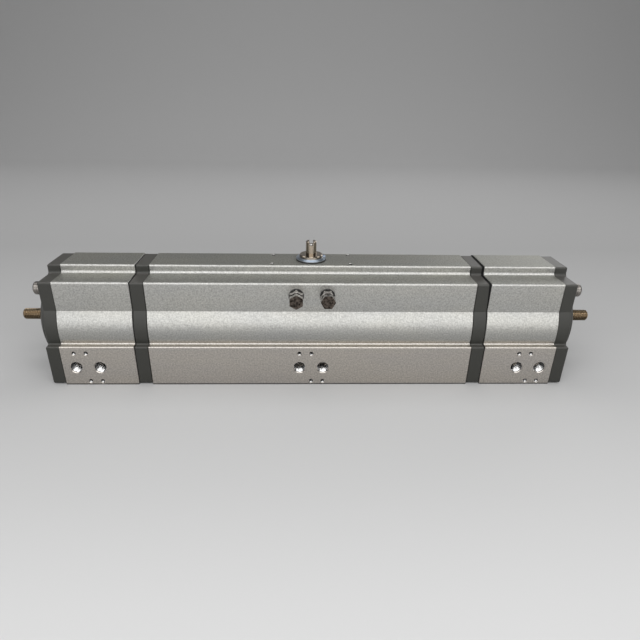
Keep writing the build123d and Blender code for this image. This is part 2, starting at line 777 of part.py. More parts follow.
with BuildPart() as stop_nuts:
    for x, turn in stop_hexes:
        face = Plane(origin=(x, nut_y, stop_z), x_dir=(1, 0, 0), z_dir=(0, -1, 0))
        add(hex_block(face, stop_flats, stop_nut_height, turn))
        round_y(stop_radius + seat_gap, nut_y, nut_y - stop_nut_height, x, stop_z)
save(stop_nuts.part, "stop_nuts")

with BuildPart() as stop_seals:
    for x in (-stop_x, stop_x):
        round_y(stop_seal_radius, -flat_y, nut_y, x, stop_z, mode=Mode.ADD)
        round_y(stop_radius + seat_gap, -flat_y, nut_y, x, stop_z)
save(stop_seals.part, "stop_seals")

with BuildPart() as passage_plugs:
    for x in (port_pitch / 2, port_pitch / 2 - side_port_x, side_port_x - port_pitch / 2):
        plug_top = plug_recess + plug_length
        round_z(passage_radius - seal_gap, plug_recess, plug_top, x, passage_y, mode=Mode.ADD)
save(passage_plugs.part, "passage_plugs")


# ---------------------------------------------------------------- pistons
def head_grooves(inner):
    """Seats of the guide ring and the seal in a piston head whose inner face is at this station."""
    outer = bore_radius + overlap
    guide = inner + guide_start
    seal = inner + seal_start
    return [
        ring_x(outer, piston_radius - guide_depth, guide, guide + guide_width),
        ring_x(outer, piston_radius - seal_depth, seal, seal + seal_width),
    ]


def guide_ring(inner):
    """The split plastic ring that carries a piston head."""
    groove = piston_radius - guide_depth
    start = inner + guide_start + running_gap
    stop = inner + guide_start + guide_width - running_gap
    with BuildPart() as ring:
        round_x(bore_radius - running_gap, start, stop, mode=Mode.ADD)
        round_x(groove + running_gap, start, stop)
        with Locations(((start + stop) / 2, 0, bore_top)):
            Box(stop - start + overlap, guide_split, bore_radius, mode=Mode.SUBTRACT)
    return ring.part


def piston_seal(inner):
    """A piston head's O-ring."""
    return seal_x(bore_radius, piston_radius - seal_depth, inner + seal_start + seal_width / 2)


rack_low = axis_z - rack_height / 2
rack_end = -(stroke + rack_overrun) + rest_shift
pad_back = bore_radius - pad_seat
pad_start = rack_end + pad_inset
half_tooth = (tooth_pitch / 2 - tooth_thinning) / 2
slope = tan(radians(pressure_angle))
last_tooth = round(stroke / tooth_pitch) + 1
tooth_places = [(k + 0.5) * tooth_pitch + rest_shift for k in range(-last_tooth, 2)]

with BuildPart() as piston_right:
    round_x(piston_radius, piston_inner, piston_outer, mode=Mode.ADD)
    chamfer(edges().filter_by(GeomType.CIRCLE), piston_chamfer)
    with BuildSketch(Plane.YZ.offset(rack_end)) as arm:
        with Locations((0, axis_z)):
            Circle(rack_back_radius)
        with Locations((-rack_root, axis_z)):
            Rectangle(bore_radius, rack_height, align=(Align.MAX, Align.CENTER), mode=Mode.INTERSECT)
        fillet(arm.vertices().sort_by(Axis.X)[:2], rack_round)
    extrude(amount=piston_inner - rack_end + overlap)
    with BuildSketch(Plane.XY.offset(rack_low)):
        with Locations(*[(x, -rack_tip) for x in tooth_places]):
            Trapezoid(
                2 * (half_tooth + (rack_root + overlap - pitch_radius) * slope),
                rack_root + overlap - rack_tip,
                90 - pressure_angle,
                align=(Align.CENTER, Align.MAX),
            )
    extrude(amount=rack_height)
    with Locations((pad_start, -pad_back, axis_z)):
        Box(pad_length + 2 * seat_gap, bore_radius, pad_width + 2 * seat_gap,
            align=(Align.MIN, Align.MAX, Align.CENTER), mode=Mode.SUBTRACT)
    add(head_grooves(piston_inner), mode=Mode.SUBTRACT)
    round_x(face_dish_radius, piston_outer - face_dish_depth, piston_outer)
    round_x(rod_radius + face_boss, piston_outer - face_dish_depth, piston_outer, mode=Mode.ADD)

with BuildPart() as rack_pad:
    with BuildSketch(Plane.YZ.offset(pad_start + seat_gap)):
        with Locations((0, axis_z)):
            Circle(spigot_radius)
        with Locations((-pad_back - seat_gap, axis_z)):
            Rectangle(bore_radius, pad_width, align=(Align.MAX, Align.CENTER), mode=Mode.INTERSECT)
    extrude(amount=pad_length)

nut_start = stop_outer - rod_nut_height - rod_nut_room

with BuildPart() as stop_piston:
    round_x(piston_radius, stop_inner, stop_outer, mode=Mode.ADD)
    chamfer(edges().filter_by(GeomType.CIRCLE), piston_chamfer)
    add(head_grooves(stop_inner), mode=Mode.SUBTRACT)
    round_x(rod_stub_radius + seat_gap, stop_inner, stop_outer)
    round_x(rod_nut_flats / 2 / cos(pi / 6) + rod_nut_pocket, nut_start, stop_outer)

with BuildPart() as stop_rod:
    round_x(rod_radius, rod_tip, stop_inner, mode=Mode.ADD)
    chamfer(edges().filter_by(GeomType.CIRCLE).sort_by(Axis.X)[0], rod_chamfer)
    round_x(rod_stub_radius, stop_inner, stop_outer, mode=Mode.ADD)

with BuildPart() as rod_nut:
    add(hex_block(Plane(origin=(nut_start, 0, axis_z), z_dir=(1, 0, 0)), rod_nut_flats, rod_nut_height))
    round_x(rod_stub_radius + seat_gap, nut_start, nut_start + rod_nut_height)

pairs = {
    "piston": piston_right.part,
    "piston_guide": guide_ring(piston_inner),
    "piston_seal": piston_seal(piston_inner),
    "rack_pad": rack_pad.part,
    "stop_piston": stop_piston.part,
    "stop_guide": guide_ring(stop_inner),
    "stop_seal": piston_seal(stop_inner),
    "stop_rod": stop_rod.part,
    "rod_nut": rod_nut.part,
}
for name, right in pairs.items():
    save(right, f"{name}_right")
    save(right.rotate(Axis.Z, 180), f"{name}_left")
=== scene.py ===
import json
from math import cos, pi, radians, sin

import bmesh
import bpy
from mathutils import Matrix, Vector

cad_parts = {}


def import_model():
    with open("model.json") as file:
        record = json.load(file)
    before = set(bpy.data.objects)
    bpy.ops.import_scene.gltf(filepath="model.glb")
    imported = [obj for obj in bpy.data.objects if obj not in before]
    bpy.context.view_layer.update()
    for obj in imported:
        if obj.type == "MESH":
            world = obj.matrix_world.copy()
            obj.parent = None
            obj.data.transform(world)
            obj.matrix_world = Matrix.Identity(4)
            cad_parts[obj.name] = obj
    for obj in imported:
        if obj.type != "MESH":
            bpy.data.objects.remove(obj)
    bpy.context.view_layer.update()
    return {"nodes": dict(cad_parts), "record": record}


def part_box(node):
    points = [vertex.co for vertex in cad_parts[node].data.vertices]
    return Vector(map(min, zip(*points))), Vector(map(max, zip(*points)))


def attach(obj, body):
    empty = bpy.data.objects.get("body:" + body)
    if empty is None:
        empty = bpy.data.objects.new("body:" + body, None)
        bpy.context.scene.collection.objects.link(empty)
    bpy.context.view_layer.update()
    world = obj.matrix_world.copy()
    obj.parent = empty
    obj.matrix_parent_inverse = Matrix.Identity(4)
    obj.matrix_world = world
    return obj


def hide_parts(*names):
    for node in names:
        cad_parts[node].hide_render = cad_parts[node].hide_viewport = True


# The looks of a rotary pneumatic actuator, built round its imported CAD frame.
# The camera, floor and lamps are in metres. The pieces' points are in millimetres, in the CAD model's
# axes, until piece() scales them.
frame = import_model()
nodes = frame["nodes"]
scene = bpy.context.scene
scene.view_settings.view_transform = "Standard"
MM = 0.001


def add(name, data):
    """A new object in the scene."""
    made = bpy.data.objects.new(name, data)
    scene.collection.objects.link(made)
    return made


# ---------------------------------------------------------------- camera
YAW, PITCH, ROLL = radians(2.025), radians(25.686), radians(0.980)
CAMERA_PLACE = (-0.01462, -0.51469, 0.28153)
SENSOR_WIDTH, LENS = 36.0, 28.67    # millimetres
SHIFT_X, SHIFT_Y = 0.0106, 0.01675
CLIP_NEAR, CLIP_FAR = 0.01, 50.0


def aimed_camera():
    """A camera that looks along +Y, turned right by YAW, down by PITCH and about its own axis by ROLL."""
    data = bpy.data.cameras.new("camera")
    data.sensor_width = SENSOR_WIDTH
    data.lens = LENS
    data.shift_x = SHIFT_X
    data.shift_y = SHIFT_Y
    data.clip_start = CLIP_NEAR
    data.clip_end = CLIP_FAR
    forward = Vector((cos(PITCH) * sin(YAW), cos(PITCH) * cos(YAW), -sin(PITCH)))
    level = Vector((cos(YAW), -sin(YAW), 0))
    down = Vector((-sin(PITCH) * sin(YAW), -sin(PITCH) * cos(YAW), -cos(PITCH)))
    right = cos(ROLL) * level - sin(ROLL) * down
    below = sin(ROLL) * level + cos(ROLL) * down
    turn = Matrix((right, -below, -forward)).transposed().to_4x4()
    made = add("camera", data)
    made.matrix_world = Matrix.Translation(CAMERA_PLACE) @ turn
    return made


scene.camera = aimed_camera()


# ---------------------------------------------------------------- material nodes
NOISE_LOW, NOISE_HIGH = 0.3, 0.7    # most of a noise's values lie between these
METAL, NOT_METAL = 1.0, 0.0
MATT = 1.0


def material(name, colour, metallic, roughness, **sockets):
    """A Principled material; returns it with its node tree and shader."""
    made = bpy.data.materials.new(name)
    made.use_nodes = True
    tree = made.node_tree
    shader = tree.nodes["Principled BSDF"]
    shader.inputs["Base Color"].default_value = (*colour, 1)
    shader.inputs["Metallic"].default_value = metallic
    shader.inputs["Roughness"].default_value = roughness
    for socket, value in sockets.items():
        shader.inputs[socket.replace("_", " ")].default_value = value
    return made, tree, shader


def noise(tree, scale, detail=2.0, stretch=(1, 1, 1)):
    """Noise fixed to the object, with features about 1/scale metres across."""
    place = tree.nodes.new("ShaderNodeTexCoord")
    mapping = tree.nodes.new("ShaderNodeMapping")
    mapping.inputs["Scale"].default_value = stretch
    made = tree.nodes.new("ShaderNodeTexNoise")
    made.inputs["Scale"].default_value = scale
    made.inputs["Detail"].default_value = detail
    tree.links.new(place.outputs["Object"], mapping.inputs["Vector"])
    tree.links.new(mapping.outputs["Vector"], made.inputs["Vector"])
    return made.outputs["Fac"]


def axis_of(tree, source, axis):
    """One axis of a texture coordinate."""
    place = tree.nodes.new("ShaderNodeTexCoord")
    split = tree.nodes.new("ShaderNodeSeparateXYZ")
    tree.links.new(place.outputs[source], split.inputs["Vector"])
    return split.outputs[axis]


def spanned(tree, value, low, high):
    """A value as its share of the way from low to high."""
    made = tree.nodes.new("ShaderNodeMapRange")
    made.inputs["From Min"].default_value = low
    made.inputs["From Max"].default_value = high
    tree.links.new(value, made.inputs["Value"])
    return made.outputs["Result"]


def ramp(tree, value, stops):
    """A colour ramp from (position, colour) stops; a colour may be one number for a grey."""
    made = tree.nodes.new("ShaderNodeValToRGB")
    elements = made.color_ramp.elements
    while len(elements) < len(stops):
        elements.new(0.5)           # the loop below moves it
    for element, (position, colour) in zip(elements, stops):
        element.position = position
        element.color = (*colour, 1) if isinstance(colour, tuple) else (colour, colour, colour, 1)
    tree.links.new(value, made.inputs["Fac"])
    return made.outputs["Color"]


def between(tree, value, low, high):
    """A noise as a change from one colour to another."""
    return ramp(tree, value, [(NOISE_LOW, low), (NOISE_HIGH, high)])


def mixed(tree, mode, first, second):
    """Two colours mixed fully by a blend mode."""
    made = tree.nodes.new("ShaderNodeMix")
    made.data_type = "RGBA"
    made.blend_type = mode
    made.inputs["Factor"].default_value = 1.0
    tree.links.new(first, made.inputs["A"])
    tree.links.new(second, made.inputs["B"])
    return made.outputs["Result"]


def bump(tree, shader, height, strength, distance):
    """A bump from a height value, distance metres deep."""
    made = tree.nodes.new("ShaderNodeBump")
    made.inputs["Strength"].default_value = strength
    made.inputs["Distance"].default_value = distance
    tree.links.new(height, made.inputs["Height"])
    tree.links.new(made.outputs["Normal"], shader.inputs["Normal"])


def shades(colour, contrast):
    """The darker and lighter shade of a colour."""
    return [tuple(min(1, c * k) for c in colour) for k in (1 - contrast, 1 + contrast)]


# ---------------------------------------------------------------- finishes
GRAIN_DETAIL = 3.0
GRAINS_A_PATCH = 30                 # how much coarser the patches of gloss are than the grain
# Z of a surface's normal where the painted top shading starts, and where it is full: painted shade and
# rougher gloss on the anodising, and painted light on the coat from COAT_FACES_UP.
FACES_UP, LIES_FLAT = 0.80, 0.97
COAT_FACES_UP = 0.3
# The anodised tint by height, in shares of TINT_SPAN metres: the foot line, painted shade; the port pads,
# paler and warmer with a painted reflection of the floor; and the walls.
TINT_SPAN = 0.1
FOOT, ABOVE_FOOT, PAD_TOP, ABOVE_PAD = 0.011, 0.015, 0.43, 0.50
FOOT_PAINTED_SHADE, PAD_PAINTED_REFLECTION, WALL_TINT = 0.3, (1.18, 1.11, 1.05), (1.0, 1.0, 0.98)
CLOUD_DARK, CLOUD_LIGHT, CLOUD_STRETCH = (0.95, 0.95, 0.96), (1.0, 0.99, 0.97), (1, 3, 3)
# Z of the normal inside a hole up to which it is dark with painted shade, and from which it is bright with
# painted light, and how dark the painted shade is.
BORE_DARK_BELOW, BORE_BRIGHT_ABOVE, BORE_PAINTED_SHADE = 0.12, 0.45, 0.10


def speckled(name, colour, metallic, roughness, scale, contrast, depth, rough_span=0.1, **sockets):
    """A grained finish: colour, roughness and a fine bump all vary with noise."""
    made, tree, shader = material(name, colour, metallic, roughness, **sockets)
    grain = noise(tree, scale, GRAIN_DETAIL)
    tree.links.new(between(tree, grain, *shades(colour, contrast)), shader.inputs["Base Color"])
    patches = noise(tree, scale / GRAINS_A_PATCH)
    gloss = between(tree, patches, roughness - rough_span / 2, roughness + rough_span / 2)
    tree.links.new(gloss, shader.inputs["Roughness"])
    bump(tree, shader, grain, strength=0.5, distance=depth)
    return made


def anodised(name, colour, roughness, dusty_roughness, painted_top_shade):
    """Blasted and anodised aluminium: grain, soft clouds, a dark foot line of painted shade, paler and
    warmer port pads with a painted reflection, and painted shade with rougher gloss on what faces up.
    """
    made, tree, shader = material(name, colour, METAL, roughness)
    spots = between(tree, noise(tree, scale=700, detail=GRAIN_DETAIL), *shades(colour, contrast=0.24))
    clouds = between(tree, noise(tree, scale=14, stretch=CLOUD_STRETCH), CLOUD_DARK, CLOUD_LIGHT)
    height = spanned(tree, axis_of(tree, "Object", "Z"), 0.0, TINT_SPAN)
    # painted shade along the foot, and a painted reflection that pales and warms the port pads
    painted_height_shading = [(FOOT, FOOT_PAINTED_SHADE), (ABOVE_FOOT, PAD_PAINTED_REFLECTION), (PAD_TOP, PAD_PAINTED_REFLECTION), (ABOVE_PAD, WALL_TINT)]
    up = axis_of(tree, "Normal", "Z")
    # painted shade on what faces up
    painted_top_shading = ramp(tree, up, [(FACES_UP, 1.0), (LIES_FLAT, painted_top_shade)])
    paint = mixed(tree, "MULTIPLY", spots, ramp(tree, height, painted_height_shading))
    paint = mixed(tree, "MULTIPLY", paint, clouds)
    paint = mixed(tree, "MULTIPLY", paint, painted_top_shading)
    tree.links.new(paint, shader.inputs["Base Color"])
    gloss = ramp(tree, up, [(FACES_UP, roughness), (LIES_FLAT, dusty_roughness)])
    tree.links.new(gloss, shader.inputs["Roughness"])
    bump(tree, shader, noise(tree, scale=2600), strength=0.35, distance=0.00004)
    return made


def coated(name, colour, painted_top_light, roughness):
    """A dark powder coat, paler on what faces up with painted light."""
    made, tree, shader = material(name, colour, NOT_METAL, roughness)
    grain = noise(tree, scale=900, detail=GRAIN_DETAIL)
    spots = between(tree, grain, *shades(colour, contrast=0.25))
    # painted light on what faces up
    painted_top_shading = ramp(tree, axis_of(tree, "Normal", "Z"), [(COAT_FACES_UP, colour), (LIES_FLAT, painted_top_light)])
    tree.links.new(mixed(tree, "LIGHTEN", spots, painted_top_shading), shader.inputs["Base Color"])
    bump(tree, shader, grain, strength=0.5, distance=0.00005)
    return made


def bored(name, colour, roughness):
    """Bare metal inside a hole in a side wall, with painted light and shade: bright below, where it faces
    up, and dark elsewhere.
    """
    made, tree, shader = material(name, colour, METAL, roughness)
    spots = between(tree, noise(tree, scale=1500), *shades(colour, contrast=0.08))
    stops = [(BORE_DARK_BELOW, BORE_PAINTED_SHADE), (BORE_BRIGHT_ABOVE, 1.0)]
    shade = ramp(tree, axis_of(tree, "Normal", "Z"), stops)
    tree.links.new(mixed(tree, "MULTIPLY", spots, shade), shader.inputs["Base Color"])
    bump(tree, shader, noise(tree, scale=2500), strength=0.3, distance=0.00001)
    return made


# A speckled finish lists its colour, metallic, roughness, grain scale, grain contrast and bump depth in
# metres, and a few add the span of their roughness.
finishes = {
    # the anodising's last colour is painted shade on what faces up
    "silver_anodised": anodised("anodised", (0.435, 0.435, 0.425), 0.32, 0.55, (0.81, 0.81, 0.78)),
    # the coat's second colour is painted light on what faces up
    "charcoal_coat": coated("charcoal", (0.024, 0.024, 0.020), (0.062, 0.060, 0.054), 0.46),
    "gasket_rubber": speckled(
        "gasket", (0.008, 0.008, 0.008), 0.0, 0.7, 900, 0.3, 0.00005, Specular_IOR_Level=0.1
    ),
    "stainless": speckled("stainless", (0.29, 0.275, 0.26), 1.0, 0.16, 1200, 0.2, 0.00002),
    "bronzed_steel": speckled("bronzed", (0.30, 0.235, 0.16), 1.0, 0.18, 900, 0.35, 0.00003),
    "zinc_plate": speckled("zinc", (0.56, 0.62, 0.70), 1.0, 0.28, 900, 0.08, 0.00002),
    "nickel_steel": speckled("nickel", (0.40, 0.345, 0.28), 1.0, 0.11, 900, 0.15, 0.00002),
    "steel": speckled("steel", (0.50, 0.50, 0.50), 1.0, 0.30, 900, 0.12, 0.00003),
    "cast_aluminium": speckled("casting", (0.50, 0.50, 0.49), 0.9, 0.5, 500, 0.12, 0.0002),
    "seal_rubber": speckled("rubber", (0.015, 0.015, 0.015), 0.0, 0.5, 900, 0.3, 0.00003),
    "black_plastic": speckled("plastic", (0.02, 0.02, 0.02), 0.0, 0.4, 900, 0.2, 0.00002),
    "bearing_plastic": speckled("bearing", (0.72, 0.70, 0.64), 0.0, 0.5, 900, 0.08, 0.00003),
}
# the port and valve screw linings: bare metal with painted light below and painted shade elsewhere
port_metal = bored("machined_painted_shade", (0.82, 0.82, 0.82), 0.22)
shaft_end = speckled("shaft_end", (0.84, 0.84, 0.84), 1.0, 0.20, 1500, 0.06, 0.00001, 0.06)
tie_steel = speckled("tie_steel", (0.22, 0.205, 0.19), 1.0, 0.27, 1200, 0.2, 0.00002)
# the top holes' linings: a dark lining that stands in for the shade inside the holes, painted shade
painted_hole_shade = speckled("hole_lining_painted_shade", (0.08, 0.08, 0.08), 1.0, 0.30, 1500, 0.10, 0.00001, 0.06)
stamped_face = speckled("stamped", (0.075, 0.062, 0.053), 1.0, 0.34, 420, 0.95, 0.0003)

slot_of = {part["node"]: part["material_slot"] for part in frame["record"]["subparts"]}
for name, node in nodes.items():
    node.data.materials.clear()
    node.data.materials.append(tie_steel if name.startswith("tie_") else finishes[slot_of[name]])


# ---------------------------------------------------------------- mesh helpers
SHARP_ANGLE = radians(32)
SKIN = 0.03                         # how far a lining stands inside its hole
BURIED = 0.05                       # how far it reaches into the metal round it
ROWS_A_PITCH = 8
GROOVE_SLOPE, GROOVE_OFFSET = 1.5, 0.25


def piece(name, points, faces, finish, slot, body="housing"):
    """A new piece from points in millimetres, with its finish and the body it rides on; its slot is not
    used.
    """
    mesh = bpy.data.meshes.new(name)
    mesh.from_pydata([point * MM for point in points], [], faces)
    mesh.validate()
    shell = bmesh.new()
    shell.from_mesh(mesh)
    bmesh.ops.recalc_face_normals(shell, faces=shell.faces)
    shell.to_mesh(mesh)
    shell.free()
    mesh.materials.append(finish)
    mesh.polygons.foreach_set("use_smooth", [True] * len(mesh.polygons))
    mesh.set_sharp_from_angle(angle=SHARP_ANGLE)
    made = add(name, mesh)
    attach(made, body)
    return made


def turned(origin, axis, rows, columns, sleeve=False):
    """Points and faces of a solid turned about an axis from origin.

    A row is (station along the axis, radius), and a radius may be a function of station and angle.
    A sleeve joins its last row to its first; anything else has both ends capped.
    """
    place = Vector(axis).to_track_quat("Z", "Y").to_matrix()
    points, faces = [], []
    for station, radius in rows:
        for i in range(columns):
            angle = 2 * pi * i / columns
            r = radius(station, angle) if callable(radius) else radius
            points.append(Vector(origin) + place @ Vector((r * cos(angle), r * sin(angle), station)))
    count = len(rows)
    for j in range(count if sleeve else count - 1):
        low, high = j * columns, (j + 1) % count * columns
        for i in range(columns):
            after = (i + 1) % columns
            faces.append((low + i, low + after, high + after, high + i))
    if not sleeve:
        faces.append(tuple(reversed(range(columns))))
        faces.append(tuple(range((count - 1) * columns, count * columns)))
    return points, faces


def joined(solids):
    """Several solids as one list of points and one of faces."""
    points, faces = [], []
    for more_points, more_faces in solids:
        faces += [tuple(len(points) + i for i in face) for face in more_faces]
        points += more_points
    return points, faces


def groove(station, angle, pitch):
    """How deep in a thread's groove a place is: 0 on the crest, 1 at the root. The helix is left-handed.

    Each sloping side takes a third of the pitch, and the crest and the root a sixth each.
    """
    phase = (station / pitch + angle / (2 * pi)) % 1
    return min(1, max(0, GROOVE_SLOPE * abs(2 * phase - 1) - GROOVE_OFFSET))


def hexagon(flats, lean=0.0):
    """A hexagon's radius, as a function of station and angle; one of its flats faces the angle lean."""
    def radius(station, angle):
        return flats / 2 / cos((angle - lean + pi / 6) % (pi / 3) - pi / 6)
    return radius


def threaded_rod(origin, axis, length, thread, chamfer, columns, key_rows=()):
    """A rod with a helical thread and chamfered ends; key_rows cut a socket into its far end.

    A thread gives its crest radius, its pitch and the depth of its groove.
    """
    crest, pitch, depth = thread
    steps = round(length / pitch * ROWS_A_PITCH)

    def radius(station, angle):
        end = min(station, length - station)
        return min(crest - depth * groove(station, angle, pitch), crest - chamfer + end)

    rows = [(length * j / steps, radius) for j in range(steps + 1)]
    return turned(origin, axis, [*rows, *key_rows], columns)


def tapped_lining(mouth, axis, thread, start, depth, columns):
    """A thin threaded lining of a hole, from start to depth below the hole's mouth.

    A thread gives the hole's radius, its pitch and the height of its crests, which rise over one pitch.
    """
    hole, pitch, crest = thread
    steps = round((depth - start) / pitch * ROWS_A_PITCH)

    def radius(station, angle):
        fade = min(1.0, (station - start) / pitch)
        return hole - SKIN - crest * fade * (1 - groove(station, angle, pitch))

    rows = [(start + (depth - start) * j / steps, radius) for j in range(steps + 1)]
    rows += [(depth, hole + BURIED), (start, hole + BURIED)]
    return turned(mouth, axis, rows, columns, sleeve=True)


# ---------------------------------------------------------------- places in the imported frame, in mm
def corners(node):
    """Lowest and highest corner of a CAD node."""
    return [Vector(corner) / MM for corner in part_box(node)]


mounts = {mount["name"]: mount for mount in frame["record"]["mounts"]}


def mount_place(name):
    """Where a mount is."""
    return [value / MM for value in mounts[name]["pos_m"]]


# ---------------------------------------------------------------- end studs
STUD_THREAD = (6.0, 1.75, 1.0)
STUD_CHAMFER, STUD_COLUMNS = 1.2, 48
KEY_FLATS, KEY_DEPTH, KEY_BEVEL, KEY_BEVEL_DEPTH = 6.0, 7.0, 0.5, 0.3
KEY_CONE_DEPTH, KEY_CONE_TIP = 1.2, 0.4


def end_stud(side, name):
    """A threaded stud with a hexagon socket in its outer end, in place of the CAD's plain one."""
    low, high = corners(f"end_stud_{name}")
    inner, tip = (high.x, low.x) if side < 0 else (low.x, high.x)
    length = abs(tip - inner)
    key_rows = [
        (length, KEY_FLATS / 2 / cos(pi / 6) + KEY_BEVEL),
        (length - KEY_BEVEL_DEPTH, hexagon(KEY_FLATS)),
        (length - KEY_DEPTH, hexagon(KEY_FLATS)),
        (length - KEY_DEPTH - KEY_CONE_DEPTH, KEY_CONE_TIP),
    ]
    origin = (inner, 0, (low.z + high.z) / 2)
    rod = threaded_rod(origin, (side, 0, 0), length, STUD_THREAD, STUD_CHAMFER, STUD_COLUMNS, key_rows)
    stud = piece(f"stud_thread_{name}", *rod, finishes["bronzed_steel"], "bronzed_steel")
    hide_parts(f"end_stud_{name}")


for side, name in ((-1, "left"), (1, "right")):
    end_stud(side, name)


# ---------------------------------------------------------------- travel stop screws
STOP_THREAD = (4.0, 1.25, 0.75)
STOP_CHAMFER, STOP_COLUMNS = 0.8, 36
NECK_OVERLAP = 0.2                  # how far the shank reaches into its head
HEAD_FLATS, HEAD_HEIGHT, HEAD_COLUMNS = 13.0, 5.3, 72
NECK_RADIUS, NECK_BEVEL = 6.65, 0.25
RIM_ROWS, RIM_STEP = 5, 0.15        # rows of points from the rim down
RIM_SHARE = 0.8                     # of the face's depth, from the head's end to the rim
SEAT_RADIUS = 5.8                   # the flat seat in the head's end, under the face
FACE_DEPTH, FACE_TURNED, FACE_MARGIN = 0.35, 7.0, 0.3
FACE_GAP = 0.05                     # between the seat and the back of the face
ROOT_RADIUS, ROOT_DEPTH = 5.0, 0.1  # where the face joins the head


def stop_screw(x, z, neck_y, tip_y, lean):
    """A stop screw's threaded shank and hexagon head, and the dark stamped face of the head, as solids."""
    start = (x, neck_y - NECK_OVERLAP, z)
    length = tip_y - neck_y + NECK_OVERLAP
    shank = threaded_rod(start, (0, 1, 0), length, STOP_THREAD, STOP_CHAMFER, STOP_COLUMNS)
    outline = hexagon(HEAD_FLATS, lean)
    face_outline = hexagon(HEAD_FLATS - FACE_MARGIN, lean)

    def face_radius(station, angle):
        return min(face_outline(station, angle), FACE_TURNED)

    rim = HEAD_HEIGHT - FACE_DEPTH * RIM_SHARE
    rows = [(0, NECK_RADIUS), (NECK_BEVEL, outline)]
    rows += [(rim - RIM_STEP * j, outline) for j in reversed(range(RIM_ROWS))]
    rows.append((HEAD_HEIGHT - FACE_DEPTH, SEAT_RADIUS))
    head = turned((x, neck_y, z), (0, -1, 0), rows, HEAD_COLUMNS)

    face_y = neck_y - HEAD_HEIGHT + FACE_DEPTH - FACE_GAP
    face_rows = [(-ROOT_DEPTH, ROOT_RADIUS), (0.0, face_radius), (FACE_DEPTH - FACE_GAP, face_radius)]
    return shank, head, turned((x, face_y, z), (0, -1, 0), face_rows, HEAD_COLUMNS)


def stop_screws():
    """Both stop screws: the left head stands on a corner and the right one on a flat."""
    low, high = corners("stop_screws")
    x = high.x - HEAD_FLATS / 2 / cos(pi / 6)
    z = (low.z + high.z) / 2
    neck_y = low.y + HEAD_HEIGHT
    metal, faces = [], []
    for place, lean in ((-x, 0), (x, pi / 6)):
        shank, head, face = stop_screw(place, z, neck_y, high.y, lean)
        metal += [shank, head]
        faces.append(face)
    screw_piece = piece("stop_screw_threads", *joined(metal), finishes["stainless"], "stainless")
    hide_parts("stop_screws")
    piece("stop_screw_faces", *joined(faces), stamped_face, "stainless")


stop_screws()

# ---------------------------------------------------------------- linings of the tapped holes
PORT_THREAD = (5.9, 1.337, 0.50)
PORT_START, PORT_DEPTH, PORT_COLUMNS = 0.8, 12.8, 48
SCREW_THREAD = (2.1, 0.8, 0.28)
SCREW_START, SCREW_DEPTH, SCREW_COLUMNS = 0.45, 7.5, 24
SHAFT_THREAD = (2.5, 1.0, 0.3)
SHAFT_THREAD_DEPTH, SHAFT_COLUMNS, SLOT_DEPTH = 6.5, 32, 4.0
PAD_Y = mount_place("valve_screws_centre_upper")[1]
VALVE_SPACING = mounts["valve_screws_left_upper"]["dims"]["spacing_x_mm"]
TOP_SPACING_X = mounts["top_holes"]["dims"]["spacing_x_mm"]
TOP_SPACING_Y = mounts["top_holes"]["dims"]["spacing_y_mm"]
INTO_WALL, DOWNWARDS = (0, 1, 0), (0, 0, -1)


def screw_lining(mouth, axis):
    """The lining of one M5 hole."""
    return tapped_lining(mouth, axis, SCREW_THREAD, SCREW_START, SCREW_DEPTH, SCREW_COLUMNS)


def port_face(label):
    """The linings of one port face's two ports and four valve screw holes."""
    for port in "ab":
        x, _, z = mount_place(f"port_{label}_{port}")
        mouth = (x, PAD_Y, z)
        lining = tapped_lining(mouth, INTO_WALL, PORT_THREAD, PORT_START, PORT_DEPTH, PORT_COLUMNS)
        piece(f"port_thread_{label}_{port}", *lining, port_metal, "silver_anodised")
    linings = []
    for row in ("upper", "lower"):
        x, _, z = mount_place(f"valve_screws_{label}_{row}")
        for side in (-1, 1):
            linings.append(screw_lining((x + side * VALVE_SPACING / 2, PAD_Y, z), INTO_WALL))
    piece(f"valve_screw_threads_{label}", *joined(linings), port_metal, "silver_anodised")


def top_face():
    """The linings of the four holes round the shaft, dark with painted shade."""
    middle_x, middle_y, top_z = mount_place("top_holes")
    linings = []
    for x in (middle_x - TOP_SPACING_X / 2, middle_x + TOP_SPACING_X / 2):
        for y in (middle_y - TOP_SPACING_Y / 2, middle_y + TOP_SPACING_Y / 2):
            linings.append(screw_lining((x, y, top_z), DOWNWARDS))
    piece("top_screw_threads", *joined(linings), painted_hole_shade, "silver_anodised")


def shaft_hole():
    """The lining of the hole in the shaft's end, from the floor of its slot down."""
    x, y, middle_z = mount_place("indicator_screw")
    end_z = middle_z + mounts["indicator_screw"]["dims"]["length_mm"] / 2
    mouth = (x, y, end_z - SLOT_DEPTH)
    lining = tapped_lining(mouth, DOWNWARDS, SHAFT_THREAD, 0.0, SHAFT_THREAD_DEPTH, SHAFT_COLUMNS)
    piece("indicator_thread", *lining, shaft_end, "nickel_steel", "pinion_body")


for label in ("left", "centre", "right"):
    port_face(label)
top_face()
shaft_hole()

# ---------------------------------------------------------------- rubber bead at the right-hand joint
# The tubes' front outline, and how far inside it the plates' faces lie.
TOP_Z = mount_place("top_holes")[2]
TOP_HALF_WIDTH, TOP_ROUND = 20.5, 1.75
SHOULDER_DROP, SHOULDER_FILLET, SHOULDER_ROUND, FLAT_Y = 9.2, 3.0, 2.0, 47.4
PLATE_INSET = 0.75
# The bead's section. BEAD_X is just short of the right tube's end, and the bead lies to the left of it.
BEAD_X, BEAD_WIDE, BEAD_NARROW = 177.55, 2.1, 0.5
BEAD_PROUD, BEAD_SUNK, BEAD_BEVEL = 0.6, 0.4, 0.2
TAPER_FROM_Z, TAPER_LENGTH = 106.0, 25.0
# The bead's path.
BEAD_REAR_Y, BEAD_STEP = 19.0, 2.0
TOP_STEPS, LEDGE_STEPS, FLAT_STEPS, CORNER_STEPS = 18, 10, 12, 6


